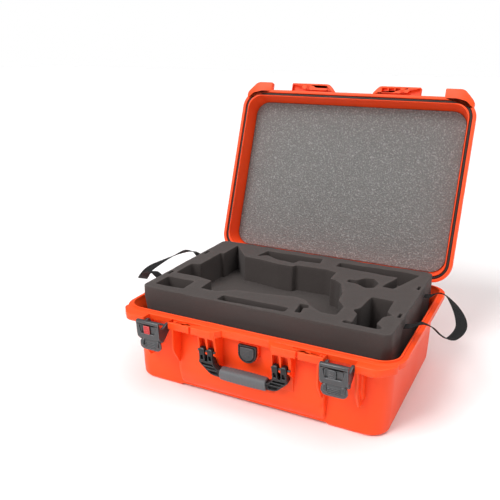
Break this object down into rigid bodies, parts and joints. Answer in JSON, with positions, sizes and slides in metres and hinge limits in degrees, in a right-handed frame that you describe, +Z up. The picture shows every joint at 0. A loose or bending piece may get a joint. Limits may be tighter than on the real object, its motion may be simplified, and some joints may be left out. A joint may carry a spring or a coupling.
{
  "type": "drone carrying case",
  "caption": "Hard-shell carrying case with a hinged foam-lined lid, two claw latches, a folding handle, a pressure valve and a lift-out cut foam tray for a drone.",
  "frame": {"origin": "middle of the underside of the base, on the surface that the case stands on", "axes": "+Z up, front with the latches and handle towards -Y, hinges towards +Y, +X to the right seen from the front; the lid stands open"},
  "size_m": [0.6948, 0.6354, 0.5511],
  "materials": {
    "orange_shell": "moulded polypropylene, fine satin texture",
    "black_plastic": "glass-filled nylon, satin",
    "grey_grip": "soft overmoulded grip",
    "red_plastic": "moulded red slide",
    "seal_rubber": "dark gasket cord",
    "steel": "stainless pins",
    "tray_foam": "closed-cell polyethylene foam, cut",
    "lid_foam": "pebbled closed-cell foam sheet",
    "webbing": "woven polyester webbing"
  },
  "bodies": {
    "base": {"base_shell": "orange_shell", "foam_base_layer": "tray_foam", "hinge_pin_left": "steel", "hinge_pin_right": "steel", "handle_pin_left": "steel", "handle_pin_right": "steel", "latch_left_pin": "steel", "latch_right_pin": "steel", "valve_housing": "black_plastic", "valve_cover": "grey_grip", "valve_seal": "seal_rubber", "valve_nut": "black_plastic", "valve_membrane": "lid_foam"},
    "lid": {"lid_shell": "orange_shell", "lid_gasket": "seal_rubber", "lid_foam": "lid_foam", "lid_badge": "black_plastic"},
    "handle": {"handle_frame": "black_plastic", "handle_grip": "grey_grip"},
    "tray": {"foam_tray": "tray_foam", "pull_strap_left": "webbing", "pull_strap_right": "webbing"},
    "latch_left_claw": {"latch_left_claw": "black_plastic", "latch_left_lever_pin": "steel"},
    "latch_left_lever": {"latch_left_lever": "black_plastic"},
    "latch_left_lock": {"latch_left_slide_lock": "red_plastic"},
    "latch_right_claw": {"latch_right_claw": "black_plastic", "latch_right_lever_pin": "steel"},
    "latch_right_lever": {"latch_right_lever": "black_plastic"},
    "latch_right_lock": {"latch_right_slide_lock": "black_plastic"}
  },
  "joints": [
    {"name": "lid_hinge", "type": "hinge", "parent": "base", "child": "lid", "pos_m": [0, 0.204, 0.152], "axis": [-1, 0, 0], "range_deg": [-109.3, 0], "deforming": ["pull_strap_left", "pull_strap_right"]},
    {"name": "handle_swing", "type": "hinge", "parent": "base", "child": "handle", "pos_m": [0, -0.212, 0.108], "axis": [-1, 0, 0], "range_deg": [0, 100]},
    {"name": "tray_lift", "type": "slide", "parent": "base", "child": "tray", "axis": [0, 0, 1], "range_m": [0, 0.13]},
    {"name": "latch_left_claw_pivot", "type": "hinge", "parent": "base", "child": "latch_left_claw", "pos_m": [-0.18, -0.212, 0.141], "axis": [-1, 0, 0], "range_deg": [0, 94.5]},
    {"name": "latch_left_lever_pivot", "type": "hinge", "parent": "latch_left_claw", "child": "latch_left_lever", "pos_m": [-0.18, -0.23201, 0.11997], "axis": [1, 0, 0], "range_deg": [0, 90]},
    {"name": "latch_left_lock_slide", "type": "slide", "parent": "latch_left_claw", "child": "latch_left_lock", "axis": [1, 0, 0], "range_m": [0, 0.006]},
    {"name": "latch_right_claw_pivot", "type": "hinge", "parent": "base", "child": "latch_right_claw", "pos_m": [0.18, -0.212, 0.141], "axis": [-1, 0, 0], "range_deg": [0, 94.5]},
    {"name": "latch_right_lever_pivot", "type": "hinge", "parent": "latch_right_claw", "child": "latch_right_lever", "pos_m": [0.18, -0.23201, 0.11997], "axis": [1, 0, 0], "range_deg": [0, 90]},
    {"name": "latch_right_lock_slide", "type": "slide", "parent": "latch_right_claw", "child": "latch_right_lock", "axis": [1, 0, 0], "range_m": [0, 0.006]}
  ]
}
